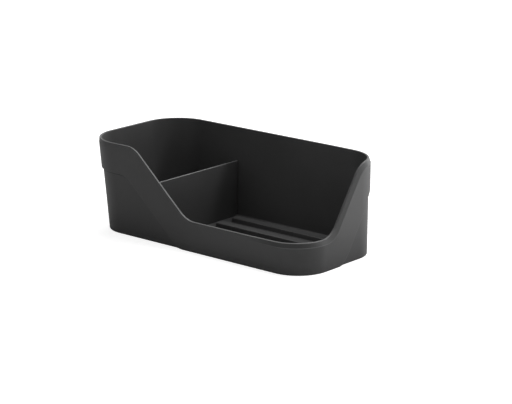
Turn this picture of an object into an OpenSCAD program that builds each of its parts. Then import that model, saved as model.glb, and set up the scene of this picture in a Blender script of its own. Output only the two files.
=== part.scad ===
// Desktop tool storage caddy: a moulded tub with a scooped front and one lift-out divider.
// X runs along the length, -Y faces the user, Z is up, and the origin is at the centre of the base.

/* [Tub] */
// Overall length of the band
tub_length = 270; // [220:1:340]
// Overall depth of the band
tub_depth = 132; // [110:1:170]
// Height of the high walls
tub_height = 93.4; // [75:0.2:120]
// Plan radius of the corners at the rim
corner_top = 38.5; // [25:0.5:45]
// Plan radius of the corners at the base
corner_base = 32.6; // [22:0.5:42]
// Inward lean of each end wall from rim to base
lean_end = 2.8; // [1:0.1:6]
// Inward lean of the front wall from rim to base
lean_front = 11.4; // [4:0.2:16]
// Inward lean of the back wall from rim to base
lean_back = 1.4; // [0.5:0.1:6]
// Wall thickness at the rim
wall = 1.9; // [1.5:0.1:2.6]
// Height of the floor's top face above the table
floor_top = 3.4; // [2.6:0.1:5]

/* [Scoop] */
// Height of the low front wall
low_front = 30.8; // [22:0.2:45]
// X where the front slope, drawn without its rounding, leaves the high rim
front_slope_x = -66.9; // [-75:0.1:-55]
// Angle of the front slope
front_angle = 46.2; // [38:0.1:55]
// Y where the side slope, drawn without its rounding, leaves the high rim
side_slope_y = 27.2; // [15:0.1:35]
// Angle of the side slope
side_angle = 55.9; // [48:0.1:65]
// Radius that rounds both ends of each slope
slope_round = 22; // [12:0.5:26]

/* [Band] */
// How far the band under the rim stands proud of the lower wall
band_step = 1.6; // [0.8:0.1:2.2]
// Width of the band, measured square to the rim
band_width = 30.8; // [20:0.2:40]
// Width of the shoulder that leans in to the rim
shoulder_in = 0.8; // [0.4:0.1:1.2]
// Depth of the shoulder, measured square to the rim
shoulder_drop = 4.6; // [2:0.1:8]

/* [Floor ribs] */
// Number of raised ribs on the floor of the large compartment
rib_count = 4; // [2:1:4]
// Width of a rib
rib_width = 10.2; // [8:0.1:14]
// Spacing of the ribs, centre to centre
rib_pitch = 23.5; // [20:0.5:24]
// Height of the ribs above the floor
rib_height = 4.8; // [2:0.1:6]
// Gap between the ends of the ribs and the divider or the end wall
rib_gap = 10.5; // [8:0.5:25]
// Y of the rearmost rib's centre
rib_rear_y = 43.4; // [38:0.2:47]

/* [Divider] */
// X of the divider's middle plane
divider_x = -47.4; // [-60:0.2:-40]
// Height of the divider's top edge above the table
divider_top = 59.8; // [40:0.2:66]
// Thickness of the divider
divider_thick = 1.6; // [1.2:0.1:2.2]
// Gap between the divider's channels and the rails, and half the gap at each wall
divider_gap = 0.3; // [0.2:0.05:0.5]
// How far the rails stand out from the walls
rail_depth = 2; // [1.4:0.1:3]
// Width of each rail
rail_width = 1.6; // [1.2:0.1:2.5]
// Thickness of the lips that make the divider's channels
lip_thick = 1.3; // [1:0.1:1.8]

/* [Hidden] */

base_round = 1.6;
rim_round = 0.6;
floor_round = 3.2;
// how far along and across a rounding its middle point lies, as a part of the radius
arc_mid = 0.293;
foot_width = 4;
foot_height = 1.4;
// height of the sloping ledge under the band
step_rise = 0.4;
// extra lean of the inside face, which keeps the lower wall's thickness
inner_lean = 0.9;
// the step dies away over this height above the base
fade_height = 3;
// the shoulder starts this many degrees round the corner from the flat front, and the front
// wall keeps this part of the lean instead
shoulder_blend = 18;
front_lean_kept = 0.85;
// smallest height between two rings of points
thin = 0.1;
rib_corner = 3.2;
rib_draft = 0.5;
rib_root = 0.5;
rail_root = 1.2;
slice = 0.4;
rail_below_top = 4;
lip_below_top = 3;
divider_edge = 0.4;
// spacing of the wall sections along straight runs (mm) and round corners (degrees)
front_step = 2.6;
side_step = 2.8;
plain_step = 30;
corner_step = 7.5;
fine_corner_step = 5;

inner_rim = shoulder_in + wall;
inner_base = inner_rim + inner_lean;
plastic = [0.25, 0.25, 0.253];

// ---- rim line -------------------------------------------------------------------------
function clamp(v, low, high) = max(low, min(high, v));
function smooth(v) = let (t = clamp(v, 0, 1)) t * t * (3 - 2 * t);

// Height after going t along a slope that falls from high to low, with both ends rounded by r.
function slope_z(t, high, low, angle, r) =
    let (
        cut = r * tan(angle / 2),
        run = (high - low) / tan(angle),
        arc = r * sin(angle)
    )
    t <= -cut ? high
    : t < arc - cut ? high - r + sqrt(r * r - pow(t + cut, 2))
    : t <= run - arc + cut ? high - t * tan(angle)
    : t < run + cut ? low + r - sqrt(r * r - pow(run + cut - t, 2))
    : low;

// The rim line moved square to itself by d: each slope shifts along by d*tan(angle/2) and down by d.
function front_line(x, d) =
    slope_z(x - front_slope_x + d * tan(front_angle / 2), tub_height, low_front, front_angle, slope_round) - d;
function side_line(y, d) =
    slope_z(side_slope_y + d * tan(side_angle / 2) - y, tub_height, low_front, side_angle, slope_round) - d;
function rim_line(p, d) = max(front_line(p.x, d), side_line(p.y, d));

// ---- plan outline ---------------------------------------------------------------------
// A station is [a, b, heading]: a and b place the corner arc's centre between -1 and 1, and
// heading is the outward direction.
function row(first, last, step) =
    let (n = ceil((last - first) / step))
    [for (i = [0:n - 1]) first + (last - first) * i / n];
front_reach = tub_length / 2 - corner_top;
side_reach = tub_depth / 2 - corner_top;
slope_end_x = front_slope_x + (tub_height - low_front) / tan(front_angle) + slope_round;
front_x = concat(row(-front_reach, slope_end_x, front_step), row(slope_end_x, front_reach, plain_step));
stations = concat(
    [for (x = front_x) [x / front_reach, -1, -90]],
    [for (a = row(-90, 0, corner_step)) [1, -1, a]],
    [for (y = row(-side_reach, side_reach, side_step)) [1, y / side_reach, 0]],
    [for (a = row(0, 90, fine_corner_step)) [1, 1, a]],
    [for (x = row(-front_reach, front_reach, plain_step)) [-x / front_reach, 1, 90]],
    [for (a = row(90, 180, corner_step)) [-1, 1, a]],
    [for (y = row(-side_reach, side_reach, plain_step)) [-1, -y / side_reach, 180]],
    [for (a = row(180, 270, corner_step)) [-1, -1, a]]
);

// How far the inside face lies inside the band's outer face at height z.
function inner_inset(z) = inner_rim + inner_lean * (tub_height - z) / tub_height;

// Point of the wall at a station, `in` inside the band's outer face and at height z.
function wall_point(s, in, z) =
    let (
        low = (tub_height - z) / tub_height,
        r = corner_top + (corner_base - corner_top) * low,
        half_x = tub_length / 2 - lean_end * low,
        half_y = (tub_depth - (lean_front + lean_back) * low) / 2,
        mid_y = (lean_front - lean_back) * low / 2
    )
    [
        s[0] * (half_x - r) + (r - in) * cos(s[2]),
        mid_y + s[1] * (half_y - r) + (r - in) * sin(s[2]),
        z
    ];

// Section through the wall at a station, from the underside round the rim to the floor.
function wall_section(s) =
    let (
        p = wall_point(s, 0, tub_height),
        rim = rim_line(p, 0),
        step = rim_line(p, band_width),
        kept = smooth(step / fade_height),
        out = band_step * kept,
        inner_top = inner_inset(rim - rim_round),
        inner_foot = inner_inset(floor_top + floor_round),
        turn = min(abs(s[2] + 90), abs(s[2] - 270)),
        shoulder = shoulder_in * front_lean_kept * (1 - smooth(turn / shoulder_blend)),
        ledge = (shoulder_in - shoulder) / 2,
        step_low = max(step, base_round + thin),
        step_high = step_low + thin + step_rise * kept
    )
    [
        [out + base_round + foot_width + foot_height, foot_height],
        [out + base_round + foot_width, 0],
        [out + base_round, 0],
        [out + base_round * arc_mid, base_round * arc_mid],
        [out, base_round],
        [out, step_low],
        [0, step_high],
        [shoulder, rim_line(p, shoulder_drop)],
        [shoulder + ledge, rim_line(p, shoulder_drop - ledge)],
        [shoulder_in, rim - rim_round],
        [shoulder_in + rim_round * arc_mid, rim - rim_round * arc_mid],
        [shoulder_in + rim_round, rim],
        [inner_top - rim_round, rim],
        [inner_top - rim_round * arc_mid, rim - rim_round * arc_mid],
        [inner_top, rim - rim_round],
        [inner_foot, floor_top + floor_round],
        [inner_foot + floor_round * arc_mid, floor_top + floor_round * arc_mid],
        [inner_foot + floor_round, floor_top]
    ];

module shell() {
    count = len(stations);
    rings = len(wall_section(stations[0]));
    points = [for (s = stations) each [for (q = wall_section(s)) wall_point(s, q[0], q[1])]];
    sides = [
        for (i = [0:count - 1]) let (j = (i + 1) % count)
            for (k = [0:rings - 2])
                each [
                    [i * rings + k, i * rings + k + 1, j * rings + k + 1],
                    [i * rings + k, j * rings + k + 1, j * rings + k]
                ]
    ];
    underside = [for (i = [0:count - 1]) i * rings];
    floor_face = [for (i = [count - 1:-1:0]) i * rings + rings - 1];
    polyhedron(points, concat(sides, [underside, floor_face]));
}

// ---- floor ribs -----------------------------------------------------------------------
rib_left = divider_x + divider_thick / 2 + rib_gap;
rib_right = tub_length / 2 - lean_end - inner_base - rib_gap;

// One rib's shape, drawn in by `in` all round, from height low to high.
module rib_shape(y, in, low, high) {
    r = max(rib_corner - in, rib_draft * 2);
    hull()
        for (x = [rib_left + in + r, rib_right - in - r], side = [-1, 1])
            translate([x, y + side * (rib_width / 2 - in - r), low])
                cylinder(h = high - low, r1 = r, r2 = r - rib_draft, $fn = 24);
}

module each_rib()
    for (i = [0:rib_count - 1]) {
        $y = rib_rear_y - i * rib_pitch;
        children();
    }

// ---- divider and its guides -----------------------------------------------------------
// Y of the inside of the front wall (side -1) or the back wall (side 1) at height z.
function wall_y(side, z) =
    side * (tub_depth / 2 - (side < 0 ? lean_front : lean_back) * (tub_height - z) / tub_height - inner_inset(z));

// An upright bar beside a wall, from height low to high. It runs along X from x to x + width, and
// away from the wall from near to far, following the wall's lean.
module wall_bar(side, x, width, near, far, low, high)
    hull()
        for (z = [low, high - slice])
            translate([x, wall_y(side, z) - side * (side < 0 ? near : far), z])
                cube([width, far - near, slice]);

rail_x = divider_x - divider_thick / 2 - divider_gap - rail_width;

module rails()
    for (side = [-1, 1])
        wall_bar(side, rail_x, rail_width, -rail_root, rail_depth, floor_top - slice, divider_top - rail_below_top);

module tub()
    color(plastic)
        difference() {
            union() {
                shell();
                each_rib() rib_shape($y, 0, floor_top - rib_root, floor_top + rib_height);
                rails();
            }
            each_rib() rib_shape($y, wall, -rib_root, floor_top + rib_height - wall);
        }

// The divider's outline, seen along X, up to the given height.
function divider_outline(top) =
    let (gap = 2 * divider_gap, toe = floor_round + divider_gap)
    [
        [wall_y(-1, floor_top) + gap + toe, floor_top],
        [wall_y(1, floor_top) - gap - toe, floor_top],
        [wall_y(1, floor_top + toe) - gap, floor_top + toe],
        [wall_y(1, top) - gap, top],
        [wall_y(-1, top) + gap, top],
        [wall_y(-1, floor_top + toe) + gap, floor_top + toe]
    ];

module divider_layer(thick, top)
    translate([divider_x - thick / 2, 0, 0])
        rotate([90, 0, 90])
            linear_extrude(thick)
                polygon(divider_outline(top));

// A channel on the divider's small-compartment face that slides over a rail: a web that stands
// clear of the rail's tip, and a lip on the rail's far side.
module channel(side) {
    low = floor_top + floor_round + divider_gap;
    high = divider_top - lip_below_top;
    tip = rail_depth + divider_gap;
    lip_x = rail_x - divider_gap - lip_thick;
    wall_bar(side, lip_x, divider_x - lip_x, tip, tip + lip_thick, low, high);
    wall_bar(side, lip_x, lip_thick, 2 * divider_gap, tip + lip_thick, low, high);
}

module divider()
    color(plastic) {
        hull() {
            divider_layer(divider_thick, divider_top - divider_edge);
            divider_layer(divider_thick - 2 * divider_edge, divider_top);
        }
        for (side = [-1, 1])
            channel(side);
    }

tub();
divider();
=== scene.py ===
import bpy
import bmesh
import math
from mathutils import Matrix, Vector


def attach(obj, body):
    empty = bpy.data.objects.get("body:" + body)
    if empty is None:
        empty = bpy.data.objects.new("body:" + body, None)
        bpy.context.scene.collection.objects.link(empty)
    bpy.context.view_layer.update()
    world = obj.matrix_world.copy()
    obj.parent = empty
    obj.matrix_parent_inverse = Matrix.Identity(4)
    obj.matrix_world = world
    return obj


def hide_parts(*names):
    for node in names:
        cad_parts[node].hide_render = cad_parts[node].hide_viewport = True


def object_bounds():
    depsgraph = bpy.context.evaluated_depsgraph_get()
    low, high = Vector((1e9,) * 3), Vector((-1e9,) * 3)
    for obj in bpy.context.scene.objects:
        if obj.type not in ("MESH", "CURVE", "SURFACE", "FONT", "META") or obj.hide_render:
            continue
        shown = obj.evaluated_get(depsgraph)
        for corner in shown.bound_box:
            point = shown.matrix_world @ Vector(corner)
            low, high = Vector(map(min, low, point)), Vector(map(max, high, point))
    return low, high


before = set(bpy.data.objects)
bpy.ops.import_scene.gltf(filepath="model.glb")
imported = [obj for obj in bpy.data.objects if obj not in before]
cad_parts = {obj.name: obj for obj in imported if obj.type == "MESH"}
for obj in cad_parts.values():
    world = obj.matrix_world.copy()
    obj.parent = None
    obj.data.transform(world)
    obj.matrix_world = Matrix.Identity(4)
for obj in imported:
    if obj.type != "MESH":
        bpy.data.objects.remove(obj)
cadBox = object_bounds()
mm = 0.001

# ---------- tub ----------
# All sizes in millimetres, angles in degrees.
tub = {
    "length": 270,
    "depth": 132,
    "height": 93.4,
    "cornerTop": 38.5,
    "cornerBase": 32.6,
    "leanEnd": 2.8,            # how far each wall comes in from the rim to the base
    "leanFront": 11.4,
    "leanBack": 1.4,
    "innerLean": 0.9,          # how much more than the outside the inside leans
    "wall": 1.9,
    "floorTop": 3.4,
    "floorRound": 3.2,
    "floorEdge": 1.15,
    "footWidth": 4,
    "footHeight": 1.4,
    "footRound": 0.5,
    "baseRound": 1,
    "lowFront": 30.8,          # the rim comes down two slopes to this height
    "frontSlopeX": -66.9,
    "frontAngle": 46.2,
    "sideSlopeY": 27.2,
    "sideAngle": 55.9,
    "slopeRound": 22,
    "rimRound": 0.6,
    "bandStep": 1.6,           # how far the band stands out from the wall below it
    "bandWidth": 30.8,
    "stepRise": 0.4,
    "ledgeRound": 0.55,
    "fadeHeight": 3,           # the step fades out where it comes down to the base
    "thin": 0.1,
    "shoulderIn": 0.8,
    "shoulderDrop": 4.6,
    "shoulderRound": 0.15,
    "shoulderBlend": 18,       # degrees of turn over which the front wall's shoulder changes
    "frontLeanKept": 0.85,
    "ledgeShare": 0.15,
    "rightFrom": 60,           # where the right end's own forms begin, and over what length
    "rightOver": 50,
    "endRimIn": 0.9,
    "beadHeight": 16,
    "beadAboveFloor": 8,
    "beadRound": 4,
}
shade = {
    # how many times the shade's tint is laid on as painted shade; less than 0 is paler, as a painted
    # highlight
    # painted shadow in the groove under the band
    "groove": 6,
    "grooveReach": 1.6,
    # painted contact shadow round the base edge
    "base": 6,
    # painted highlight on the band's lower edge, stronger at the right end
    "edge": -0.5,
    "rightEdgeHighlight": -5,
    # painted highlight on the shoulder and its crease at the right end
    "crease": -4,
    # painted shade on the strip below the rim at the right front corner
    "cornerStripShade": 4.5,
    "turnedOver": 45,
    # painted highlight on the divider's top edge
    "plateTopHighlight": -8,
    "plateTopReach": 0.7,
}
bends = {
    # which corner of wallSection each one is, counted from 0 after the first point
    "base": 2,
    "groove": 4,
    "bandEdge": 5,
    "crease": 6,
    "shoulder": 7,
    "rim": 8,
}
spacing = {
    # between the wall's sections, in millimetres and degrees
    "scoop": 1.2,
    "lowFront": 6,
    "plainWall": 8,
    "corner": 3,
    "slopedCorner": 2,
}
ribs = {
    "count": 4,
    "width": 10.2,
    "pitch": 23.5,
    "height": 4.8,
    "gap": 10.5,
    "rearY": 43.4,
    "corner": 3.2,
    "leastCorner": 0.35,
    "cornerSteps": 8,
    "draft": 0.5,
    "topRound": 0.8,
    "topEdge": 0.6,
    "footRound": 0.7,
    "footEdge": 0.3,
    "guard": 0.25,
}
plate = {
    "x": -47.4,
    "top": 59.8,
    "thick": 1.6,
    "gap": 0.3,
    "edgeRound": 0.45,
    "edgeSteps": 4,
    "railDepth": 2,
    "railWidth": 1.6,
    "railRoot": 1.2,
    "railFoot": 0.4,
    "railBelowTop": 4,
    "lipThick": 1.3,
    "lipBelowTop": 3,
    "barRound": 0.3,
    "barSteps": 3,
}
rounding = {
    # an arc and its guard point take at most these shares of the edge they lie on
    "steps": 4,
    "share": 0.42,
    "guardShare": 0.47,
    "guard": 0.35,
    "leastReach": 0.02,
}
bendPoints = rounding["steps"] + 3             # an arc's points and a guard point on each side
innerRim = tub["shoulderIn"] + tub["wall"]     # from the band's outer face to the inside, at the rim
innerBase = innerRim + tub["innerLean"]
railX = plate["x"] - plate["thick"] / 2 - plate["gap"] - plate["railWidth"]      # the rails' left sides


def smoothStep(value):
    t = min(max(value, 0), 1)
    return t * t * (3 - 2 * t)


def slopeHeight(t, high, low, angle, r):
    # height after t along a slope from high to low whose two ends are rounded by r
    a = math.radians(angle)
    cut = r * math.tan(a / 2)
    run = (high - low) / math.tan(a)
    arc = r * math.sin(a)
    if t <= -cut:
        return high
    if t < arc - cut:
        return high - r + math.sqrt(r * r - (t + cut) ** 2)
    if t <= run - arc + cut:
        return high - t * math.tan(a)
    if t < run + cut:
        return low + r - math.sqrt(r * r - (run + cut - t) ** 2)
    return low


def rimLine(x, y, drop):
    # the rim moved square to itself by drop
    halfFront = math.tan(math.radians(tub["frontAngle"] / 2))
    halfSide = math.tan(math.radians(tub["sideAngle"] / 2))
    front = slopeHeight(x - tub["frontSlopeX"] + drop * halfFront, tub["height"], tub["lowFront"],
                        tub["frontAngle"], tub["slopeRound"])
    side = slopeHeight(tub["sideSlopeY"] + drop * halfSide - y, tub["height"], tub["lowFront"],
                       tub["sideAngle"], tub["slopeRound"])
    return max(front, side) - drop


def wallPoint(station, inset, z):
    a, b, heading = station
    low = (tub["height"] - z) / tub["height"]
    r = tub["cornerTop"] + (tub["cornerBase"] - tub["cornerTop"]) * low
    halfX = tub["length"] / 2 - tub["leanEnd"] * low
    halfY = (tub["depth"] - (tub["leanFront"] + tub["leanBack"]) * low) / 2
    midY = (tub["leanFront"] - tub["leanBack"]) * low / 2
    turn = math.radians(heading)
    x = a * (halfX - r) + (r - inset) * math.cos(turn)
    y = midY + b * (halfY - r) + (r - inset) * math.sin(turn)
    return Vector((x, y, z)) * mm


def innerInset(z):
    # how far the inside face lies inside the band's outer face
    return innerRim + tub["innerLean"] * (tub["height"] - z) / tub["height"]


def run(first, last, step):
    count = math.ceil((last - first) / step)
    return [first + (last - first) * i / count for i in range(count)]


def tubStations():
    # places round the tub: where the corner's centre lies, and which way the wall faces
    frontReach = tub["length"] / 2 - tub["cornerTop"]
    sideReach = tub["depth"] / 2 - tub["cornerTop"]
    slopeRun = (tub["height"] - tub["lowFront"]) / math.tan(math.radians(tub["frontAngle"]))
    slopeEnd = tub["frontSlopeX"] + slopeRun + tub["slopeRound"]
    stations = [(x / frontReach, -1, -90) for x in run(-frontReach, slopeEnd, spacing["scoop"])]
    stations += [(x / frontReach, -1, -90) for x in run(slopeEnd, frontReach, spacing["lowFront"])]
    stations += [(1, -1, a) for a in run(-90, 0, spacing["corner"])]
    stations += [(1, y / sideReach, 0) for y in run(-sideReach, sideReach, spacing["scoop"])]
    stations += [(1, 1, a) for a in run(0, 90, spacing["slopedCorner"])]
    stations += [(-x / frontReach, 1, 90) for x in run(-frontReach, frontReach, spacing["plainWall"])]
    stations += [(-1, 1, a) for a in run(90, 180, spacing["corner"])]
    stations += [(-1, -y / sideReach, 180) for y in run(-sideReach, sideReach, spacing["plainWall"])]
    stations += [(-1, -1, a) for a in run(180, 270, spacing["corner"])]
    return stations


def roundCorners(corners, guard):
    # (inset, z, radius) corners become arcs, with one more point on each side to keep the flats flat
    points = []
    steps, share, guardShare = rounding["steps"], rounding["share"], rounding["guardShare"]
    for i, (x, z, r) in enumerate(corners):
        here = Vector((x, z))
        if i in (0, len(corners) - 1):
            points.append(here)
            continue
        back = Vector(corners[i - 1][:2]) - here
        on = Vector(corners[i + 1][:2]) - here
        half = back.angle(on) / 2
        reach = max(r / math.tan(half), rounding["leastReach"])
        reach = min(reach, share * back.length, share * on.length)
        start = here + back.normalized() * reach
        end = here + on.normalized() * reach
        points.append(here + back.normalized() * min(reach + guard, guardShare * back.length))
        points.append(start)
        for k in range(1, steps):
            t = k / steps
            # a circle's arc through start and end, from its rational quadratic form
            w = math.sin(half)
            a, b, c = (1 - t) ** 2, 2 * t * (1 - t) * w, t * t
            points.append((start * a + here * b + end * c) / (a + b + c))
        points.append(end)
        points.append(here + on.normalized() * min(reach + guard, guardShare * on.length))
    return points


def rightShare(p):
    # 0 along the left and middle of the tub, 1 at its right end
    return smoothStep((p.x - tub["rightFrom"]) / tub["rightOver"])


def wallSection(station):
    p = wallPoint(station, 0, tub["height"]) / mm
    rim = rimLine(p.x, p.y, 0)
    step = rimLine(p.x, p.y, tub["bandWidth"])
    kept = smoothStep(step / tub["fadeHeight"])
    out = tub["bandStep"] * kept
    inner = innerInset(tub["floorTop"])
    turn = min(abs(station[2] + 90), abs(station[2] - 270))     # how far the wall is turned from the front
    shoulder = tub["shoulderIn"] * tub["frontLeanKept"] * (1 - smoothStep(turn / tub["shoulderBlend"]))
    ledge = (tub["shoulderIn"] - shoulder) * tub["ledgeShare"]
    # at the right end the rim leans in, and thickens the wall below it
    right = rightShare(p)
    rimOuter = tub["shoulderIn"] + tub["endRimIn"] * right
    rimInner = innerInset(rim) + tub["endRimIn"] * right
    beadFoot = max(rim - tub["beadHeight"], tub["floorTop"] + tub["beadAboveFloor"])
    thin = tub["thin"]
    stepLow = max(step, tub["baseRound"] + thin)
    footIn = out + tub["baseRound"] + tub["footWidth"]
    return roundCorners([
        (footIn + 2 * tub["footHeight"], tub["footHeight"], 0),
        (footIn + tub["footHeight"], tub["footHeight"], tub["footRound"]),
        (footIn, 0, tub["footRound"]),
        (out, 0, tub["baseRound"]),
        (out, max(stepLow - shade["grooveReach"], tub["baseRound"] + thin / 2), 0),
        (out, stepLow, tub["ledgeRound"]),
        (0, stepLow + thin + tub["stepRise"] * kept, tub["ledgeRound"]),
        (shoulder, rimLine(p.x, p.y, tub["shoulderDrop"]), tub["shoulderRound"]),
        (shoulder + ledge, rimLine(p.x, p.y, tub["shoulderDrop"] - ledge), tub["shoulderRound"]),
        (rimOuter, rim, tub["rimRound"]),
        (rimInner, rim, tub["rimRound"]),
        (innerInset(beadFoot), beadFoot, tub["beadRound"]),
        (inner, tub["floorTop"], tub["floorRound"]),
        (inner + tub["floorRound"] + tub["floorEdge"], tub["floorTop"], 0),
    ], rounding["guard"])


def newLoop(bm, points):
    verts = [bm.verts.new(p) for p in points]
    for i, v in enumerate(verts):
        bm.edges.new((v, verts[(i + 1) % len(verts)]))
    return verts


def ringEdges(bm, ring):
    return [bm.edges.get((v, ring[(i + 1) % len(ring)])) for i, v in enumerate(ring)]


def extrudeRing(bm, ring, points):
    # pulls a closed ring of edges out to the next ring of points
    made = set(bmesh.ops.extrude_edge_only(bm, edges=ringEdges(bm, ring))["geom"])
    pulled = []
    for v, p in zip(ring, points):
        top = next(e.other_vert(v) for e in v.link_edges if e.other_vert(v) in made)
        top.co = p
        pulled.append(top)
    return pulled


def ribOutline(y, inset, r, z):
    # rounded rectangle round one rib, counter-clockwise from its front right corner
    left = plate["x"] + plate["thick"] / 2 + ribs["gap"] + inset
    right = tub["length"] / 2 - tub["leanEnd"] - innerBase - ribs["gap"] - inset
    half = ribs["width"] / 2 - inset
    points = []
    for sx, sy, first in ((1, -1, -90), (1, 1, 0), (-1, 1, 90), (-1, -1, 180)):
        cx = (right if sx > 0 else left) - sx * r
        cy = y + sy * (half - r)
        for k in range(ribs["cornerSteps"] + 1):
            a = math.radians(first + 90 * k / ribs["cornerSteps"])
            points.append(Vector((cx + r * math.cos(a), cy + r * math.sin(a), z)) * mm)
    return points


def ribRings(y, inset, foot, top):
    # rings up the side of a rib: a small fillet at its foot and a rounded upper edge
    section = roundCorners([
        (inset - ribs["footRound"] - ribs["footEdge"], foot, 0),
        (inset, foot, ribs["footRound"]),
        (inset + ribs["draft"], top, ribs["topRound"]),
        (inset + ribs["draft"] + ribs["topRound"] + ribs["topEdge"], top, 0),
    ], ribs["guard"])
    return [ribOutline(y, i, max(ribs["corner"] - i, ribs["leastCorner"]), z) for i, z in section]


def ribPlaces():
    return [ribs["rearY"] - i * ribs["pitch"] for i in range(ribs["count"])]


def fillFlat(bm, rings, up):
    # a flat face between an outer ring and the rings inside it
    edges = [e for ring in rings for e in ringEdges(bm, ring)]
    bmesh.ops.triangle_fill(bm, use_beauty=True, use_dissolve=False, edges=edges, normal=(0, 0, up))


def raiseLoop(bm, rings):
    # the first ring is drawn, the others are pulled from it; returns the first and last
    first = newLoop(bm, rings[0])
    ring = first
    for points in rings[1:]:
        ring = extrudeRing(bm, ring, points)
    return first, ring


def finishMesh(bm, name, sharpAngle=40, mergeDistance=1e-8):
    bmesh.ops.remove_doubles(bm, verts=bm.verts, dist=mergeDistance)
    bmesh.ops.recalc_face_normals(bm, faces=bm.faces)
    for f in bm.faces:
        f.smooth = True
    for e in bm.edges:
        e.smooth = not (e.is_manifold and e.calc_face_angle() > math.radians(sharpAngle))
    mesh = bpy.data.meshes.new(name)
    bm.to_mesh(mesh)
    bm.free()
    obj = bpy.data.objects.new(name, mesh)
    bpy.context.scene.collection.objects.link(obj)
    return obj


def wallY(side, z):
    # Y of the inside of the front wall (side -1) or the back wall (side 1), millimetres
    lean = tub["leanFront"] if side < 0 else tub["leanBack"]
    return side * (tub["depth"] / 2 - lean * (tub["height"] - z) / tub["height"] - innerInset(z))


def makeWallBar(bm, side, outline, low, high):
    # an upright bar that follows a wall's lean: the outline gives x and the distance from the wall
    base = bm.faces.new([bm.verts.new(Vector((x, wallY(side, low) - side * away, low)) * mm)
                         for x, away in outline])
    pulled = bmesh.ops.extrude_face_region(bm, geom=[base])["geom"]
    top = [v for v in pulled if isinstance(v, bmesh.types.BMVert)]
    rise = (0, (wallY(side, high) - wallY(side, low)) * mm, (high - low) * mm)
    bmesh.ops.translate(bm, verts=top, vec=rise)
    made = set(base.verts) | set(top)
    edges = [e for e in bm.edges if made.issuperset(e.verts)]
    bmesh.ops.bevel(bm, geom=edges, offset=plate["barRound"] * mm, segments=plate["barSteps"],
                    profile=0.5, affect="EDGES", material=-1)


def shadeWall(bm, layer, stations):
    # how many times the tint is laid on: once under the band, more in its groove and round the base as
    # painted shade,
    # # more on the strip at the right front corner as painted shade, and less than none, paler, on the band's
    # edge and the crease as painted highlights
    shares = []
    for s in stations:
        p = wallPoint(s, 0, tub["height"]) / mm
        turned = smoothStep((s[2] + shade["turnedOver"]) / shade["turnedOver"])     # 1 facing the right end
        kept = smoothStep(rimLine(p.x, p.y, tub["bandWidth"]) / tub["fadeHeight"])
        right = rightShare(p)
        edge = shade["edge"] + (shade["rightEdgeHighlight"] - shade["edge"]) * right
        shares.append((kept, right, right * (1 - turned), edge))
    last = bendPoints - 1
    for i, v in enumerate(bm.verts):
        kept, right, corner, edge = shares[i % len(stations)]
        bend, place = divmod(i // len(stations) - 1, bendPoints)
        # painted contact shadow on the base's rounding
        if bend == bends["base"] and 0 < place < last:
            v[layer] = shade["base"]
        elif bend < bends["groove"]:
            v[layer] = kept
        # painted shadow in the groove under the band
        elif bend == bends["groove"]:
            v[layer] = kept * shade["groove"]
        # painted highlight on the band's lower edge
        elif bend == bends["bandEdge"] and place < last:
            v[layer] = kept * edge
        # painted shade on the strip below the rim at the right front corner
        elif (bend, place) in ((bends["shoulder"], last), (bends["rim"], 0)):
            v[layer] = corner * shade["cornerStripShade"]
        # painted highlight on the shoulder and its crease at the right end
        elif bend == bends["shoulder"] or bend == bends["crease"] and place > 0:
            v[layer] = right * shade["crease"]


def makeTub():
    bm = bmesh.new()
    wallShade = bm.verts.layers.float.new("wallShade")
    stations = tubStations()
    sections = [wallSection(s) for s in stations]
    rings = [[wallPoint(s, *q[k]) for s, q in zip(stations, sections)] for k in range(len(sections[0]))]
    under, floor = raiseLoop(bm, rings)
    shadeWall(bm, wallShade, stations)
    pockets = []
    raised = []
    for y in ribPlaces():
        hollow = ribRings(y, tub["wall"], tub["footHeight"], tub["floorTop"] + ribs["height"] - tub["wall"])
        first, last = raiseLoop(bm, hollow)
        pockets.append(first)
        fillFlat(bm, [last], -1)
        first, last = raiseLoop(bm, ribRings(y, 0, tub["floorTop"], tub["floorTop"] + ribs["height"]))
        raised.append(first)
        fillFlat(bm, [last], 1)
    fillFlat(bm, [under] + pockets, -1)
    fillFlat(bm, [floor] + raised, 1)
    railFar = railX + plate["railWidth"]
    rail = [(railX, -plate["railRoot"]), (railFar, -plate["railRoot"]), (railFar, plate["railDepth"]),
            (railX, plate["railDepth"])]
    for side in (-1, 1):
        makeWallBar(bm, side, rail, tub["floorTop"] - plate["railFoot"], plate["top"] - plate["railBelowTop"])
    return finishMesh(bm, "tubMoulding")


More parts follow.
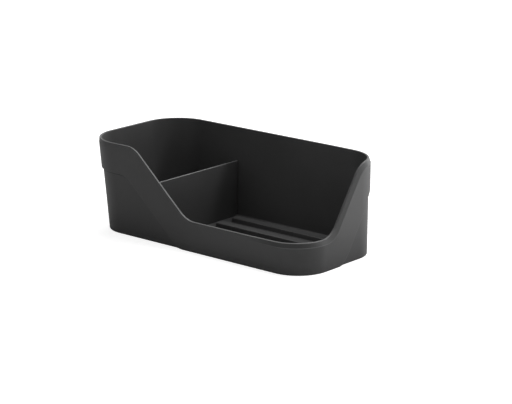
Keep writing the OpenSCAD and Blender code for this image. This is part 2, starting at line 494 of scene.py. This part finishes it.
def makeDivider():
    toe = tub["floorRound"] + plate["gap"]
    floor, top = tub["floorTop"], plate["top"]
    outline = [
        (wallY(-1, floor) + plate["gap"] + toe, floor),
        (wallY(1, floor) - plate["gap"] - toe, floor),
        (wallY(1, floor + toe) - plate["gap"], floor + toe),
        (wallY(1, top) - plate["gap"], top),
        (wallY(-1, top) + plate["gap"], top),
        (wallY(-1, floor + toe) + plate["gap"], floor + toe),
    ]
    bm = bmesh.new()
    wallShade = bm.verts.layers.float.new("wallShade")
    left = plate["x"] - plate["thick"] / 2
    ring = [bm.verts.new(Vector((left, y, z)) * mm) for y, z in outline]
    face = bm.faces.new(ring)
    pulled = bmesh.ops.extrude_face_region(bm, geom=[face])["geom"]
    far = [v for v in pulled if isinstance(v, bmesh.types.BMVert)]
    bmesh.ops.translate(bm, verts=far, vec=(plate["thick"] * mm, 0, 0))
    bmesh.ops.bevel(bm, geom=bm.edges[:], offset=plate["edgeRound"] * mm, segments=plate["edgeSteps"],
                    profile=0.5, affect="EDGES", material=-1)
    for v in bm.verts:         # painted highlight: the top edge is paler
        if v.co.z / mm > top - shade["plateTopReach"] * plate["edgeRound"]:
            v[wallShade] = shade["plateTopHighlight"]
    low, high = floor + toe, top - plate["lipBelowTop"]
    near = 2 * plate["gap"]                        # the channel's distances from the wall
    tip = plate["railDepth"] + plate["gap"]
    web = tip + plate["lipThick"]
    lipFar = railX - plate["gap"]
    lipX = lipFar - plate["lipThick"]
    channel = [(plate["x"], tip), (lipFar, tip), (lipFar, near), (lipX, near), (lipX, web), (plate["x"], web)]
    for side in (-1, 1):       # a channel at each end slides over the tub's rail
        makeWallBar(bm, side, channel, low, high)
    return finishMesh(bm, "dividerPlate")


# ---------- plastic ----------
plastic = {
    "colour": (0.0612, 0.0612, 0.0617, 1),
    "paleColour": (0.07, 0.07, 0.0706, 1),
    "shadeTint": (0.87, 0.87, 0.87, 1),
    "paleFrom": 0.35,
    "paleTo": 0.75,
    "roughness": 0.53,
    "roughnessChange": 0.05,
    "specular": 0.46,
    "grainSize": 0.28,
    "grainDetail": 2,
    "grainDepth": 0.012,
    "grainStrength": 0.35,
    "waveSize": 55,
    "waveDetail": 3,
    "waveDepth": 0.05,
    "waveStrength": 0.4,
}


def makePlastic(name, settings):
    material = bpy.data.materials.new(name)
    material.use_nodes = True
    nodes = material.node_tree.nodes
    links = material.node_tree.links
    shader = nodes["Principled BSDF"]
    shader.inputs["Specular IOR Level"].default_value = settings["specular"]
    place = nodes.new("ShaderNodeTexCoord")

    blotch = nodes.new("ShaderNodeTexNoise")       # slow changes of shade across the moulding
    blotch.inputs["Scale"].default_value = 1 / (settings["waveSize"] * mm)
    blotch.inputs["Detail"].default_value = settings["waveDetail"]
    links.new(place.outputs["Object"], blotch.inputs["Vector"])
    tint = nodes.new("ShaderNodeValToRGB")
    tint.color_ramp.elements[0].position = settings["paleFrom"]
    tint.color_ramp.elements[0].color = settings["colour"]
    tint.color_ramp.elements[1].position = settings["paleTo"]
    tint.color_ramp.elements[1].color = settings["paleColour"]
    links.new(blotch.outputs["Fac"], tint.inputs["Fac"])
    shaded = nodes.new("ShaderNodeAttribute")      # darker under the band; painted shade in the groove and round the base, painted highlights on the edges
    shaded.attribute_name = "wallShade"
    darken = nodes.new("ShaderNodeMix")
    darken.data_type = "RGBA"
    darken.blend_type = "MULTIPLY"
    darken.clamp_factor = False
    darken.inputs["B"].default_value = settings["shadeTint"]
    links.new(shaded.outputs["Fac"], darken.inputs["Factor"])
    links.new(tint.outputs["Color"], darken.inputs["A"])
    links.new(darken.outputs["Result"], shader.inputs["Base Color"])

    shine = nodes.new("ShaderNodeMapRange")
    shine.inputs["To Min"].default_value = settings["roughness"] - settings["roughnessChange"]
    shine.inputs["To Max"].default_value = settings["roughness"] + settings["roughnessChange"]
    links.new(blotch.outputs["Fac"], shine.inputs["Value"])
    links.new(shine.outputs["Result"], shader.inputs["Roughness"])

    grain = nodes.new("ShaderNodeTexNoise")        # fine even grain of the mould's surface
    grain.inputs["Scale"].default_value = 1 / (settings["grainSize"] * mm)
    grain.inputs["Detail"].default_value = settings["grainDetail"]
    links.new(place.outputs["Object"], grain.inputs["Vector"])
    fine = nodes.new("ShaderNodeBump")
    fine.inputs["Strength"].default_value = settings["grainStrength"]
    fine.inputs["Distance"].default_value = settings["grainDepth"] * mm
    links.new(grain.outputs["Fac"], fine.inputs["Height"])
    slow = nodes.new("ShaderNodeBump")             # very slight unevenness that bends the reflections
    slow.inputs["Strength"].default_value = settings["waveStrength"]
    slow.inputs["Distance"].default_value = settings["waveDepth"] * mm
    links.new(blotch.outputs["Fac"], slow.inputs["Height"])
    links.new(fine.outputs["Normal"], slow.inputs["Normal"])
    links.new(slow.outputs["Normal"], shader.inputs["Normal"])
    return material


print("modelling the tub")
tubPiece = makeTub()
tubPiece.data.materials.append(makePlastic("tubPlastic", plastic))
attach(tubPiece, "tub")
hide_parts("tub")

print("modelling the divider")
dividerPiece = makeDivider()
dividerPiece.data.materials.append(makePlastic("dividerPlastic", plastic))
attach(dividerPiece, "divider")
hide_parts("divider")

# ---------- studio ----------
studio = {
    "skyRise": 3.5,
    "floorColour": (0.6, 0.6, 0.6, 1),
    "floorRoughness": 0.9,
    "floorDrop": 0.0002,
    "floorGlow": 0.85,
    "floorGlowInGloss": 0.14,
    "floorSize": 6.0,
    "lamps": [
        # name, place, aim, width, height, watts
        ("overhead", (0, 0, 1.6), (0, 0, 0), 1.2, 1.2, 3.26),
        ("overBack", (-0.5, 1.0, 1.3), (0, 0, 0.05), 1.2, 0.9, 6.71),
        ("back", (0, 1.8, 0.5), (0, 0, 0.05), 1.2, 0.9, 8.53),
        ("backRight", (1.2, 1.4, 0.5), (0, 0, 0.05), 1.2, 0.9, 1.13),
        ("front", (0.1, -1.8, 0.5), (0, 0, 0.05), 1.0, 0.9, 3.19),
        ("floorBounce", (0.42, 0.3, 0.002), (0.42, 0.3, 1), 0.5, 0.5, 1.14),
        ("key", (0.6, 0.7, 1.3), (0, 0, 0.03), 0.4, 0.4, 8.07),
        ("keyBack", (0.1, 0.95, 1.2), (0, 0, 0.03), 0.4, 0.4, 5.03),
        ("keyTop", (0.1, 0.1, 1.6), (0, 0, 0.03), 0.4, 0.4, 2.09),
        ("keyAbove", (0.55, 0.1, 1.4), (0, 0, 0.03), 0.4, 0.4, 2.85),
    ],
}
view = {
    "azimuth": 40.639,
    "elevation": 15.316,
    "distance": 1.8977,
    "target": (0.01634, 0.01615, 0.03785),
    "lens": 139.45,
    "sensor": 36,
    "clipStart": 0.01,
}


def makeSky():
    # white for the camera; reflections see it white behind and above, and darker low in front
    world = bpy.data.worlds.new("studioSky")
    bpy.context.scene.world = world
    world.use_nodes = True
    nodes, links = world.node_tree.nodes, world.node_tree.links
    path = nodes.new("ShaderNodeLightPath")
    place = nodes.new("ShaderNodeTexCoord")
    apart = nodes.new("ShaderNodeSeparateXYZ")
    links.new(place.outputs["Generated"], apart.inputs[0])
    rise = nodes.new("ShaderNodeMath")
    rise.operation = "MULTIPLY_ADD"
    links.new(apart.outputs["Z"], rise.inputs[0])
    rise.inputs[1].default_value = studio["skyRise"]
    links.new(apart.outputs["Y"], rise.inputs[2])
    fade = nodes.new("ShaderNodeMapRange")
    links.new(rise.outputs[0], fade.inputs["Value"])
    shine = nodes.new("ShaderNodeMath")
    shine.operation = "MULTIPLY_ADD"
    links.new(fade.outputs["Result"], shine.inputs[0])
    links.new(path.outputs["Is Glossy Ray"], shine.inputs[1])
    links.new(path.outputs["Is Transmission Ray"], shine.inputs[2])
    either = nodes.new("ShaderNodeMath")
    either.operation = "MAXIMUM"
    links.new(path.outputs["Is Camera Ray"], either.inputs[0])
    links.new(shine.outputs[0], either.inputs[1])
    nodes["Background"].inputs["Color"].default_value = (1, 1, 1, 1)
    links.new(either.outputs[0], nodes["Background"].inputs["Strength"])


def makeFloor():
    bm = bmesh.new()
    bmesh.ops.create_grid(bm, x_segments=1, y_segments=1, size=studio["floorSize"] / 2)
    bmesh.ops.translate(bm, verts=bm.verts, vec=(0, 0, cadBox[0][2] - studio["floorDrop"]))
    floor = finishMesh(bm, "studioFloor")
    material = bpy.data.materials.new("paleFloor")
    material.use_nodes = True
    nodes, links = material.node_tree.nodes, material.node_tree.links
    paper = nodes["Principled BSDF"]
    paper.inputs["Base Color"].default_value = studio["floorColour"]
    paper.inputs["Roughness"].default_value = studio["floorRoughness"]
    glow = nodes.new("ShaderNodeEmission")
    glow.inputs["Strength"].default_value = studio["floorGlow"]
    both = nodes.new("ShaderNodeAddShader")
    links.new(paper.outputs[0], both.inputs[0])
    links.new(glow.outputs[0], both.inputs[1])
    path = nodes.new("ShaderNodeLightPath")
    unseen = nodes.new("ShaderNodeMath")           # gloss sees a little of the white, glass all of it
    unseen.operation = "MULTIPLY_ADD"
    links.new(path.outputs["Is Glossy Ray"], unseen.inputs[0])
    unseen.inputs[1].default_value = studio["floorGlowInGloss"]
    links.new(path.outputs["Is Transmission Ray"], unseen.inputs[2])
    seen = nodes.new("ShaderNodeMath")
    seen.operation = "MAXIMUM"
    links.new(path.outputs["Is Camera Ray"], seen.inputs[0])
    links.new(unseen.outputs[0], seen.inputs[1])
    choose = nodes.new("ShaderNodeMixShader")
    links.new(seen.outputs[0], choose.inputs[0])
    links.new(paper.outputs[0], choose.inputs[1])
    links.new(both.outputs[0], choose.inputs[2])
    links.new(choose.outputs[0], nodes["Material Output"].inputs["Surface"])
    floor.data.materials.append(material)


def makeLamps():
    for name, place, aim, width, height, watts in studio["lamps"]:
        lamp = bpy.data.lights.new(name, "AREA")
        lamp.shape = "RECTANGLE"
        lamp.size = width
        lamp.size_y = height
        lamp.energy = watts
        holder = bpy.data.objects.new(name, lamp)
        holder.location = place
        holder.rotation_euler = (Vector(aim) - Vector(place)).to_track_quat("-Z", "Y").to_euler()
        holder.visible_camera = False
        bpy.context.scene.collection.objects.link(holder)


def makeCamera():
    camera = bpy.data.cameras.new("mainView")
    camera.sensor_width = view["sensor"]
    camera.lens = view["lens"]
    camera.clip_start = view["clipStart"]
    holder = bpy.data.objects.new("mainView", camera)
    a, e = math.radians(view["azimuth"]), math.radians(view["elevation"])
    back = Vector((math.sin(a) * math.cos(e), -math.cos(a) * math.cos(e), math.sin(e)))
    holder.location = Vector(view["target"]) + back * view["distance"]
    holder.rotation_euler = back.to_track_quat("Z", "Y").to_euler()
    bpy.context.scene.collection.objects.link(holder)
    bpy.context.scene.camera = holder


print("setting up the studio")
makeSky()
makeFloor()
makeLamps()
makeCamera()
bpy.context.scene.view_settings.view_transform = "Standard"
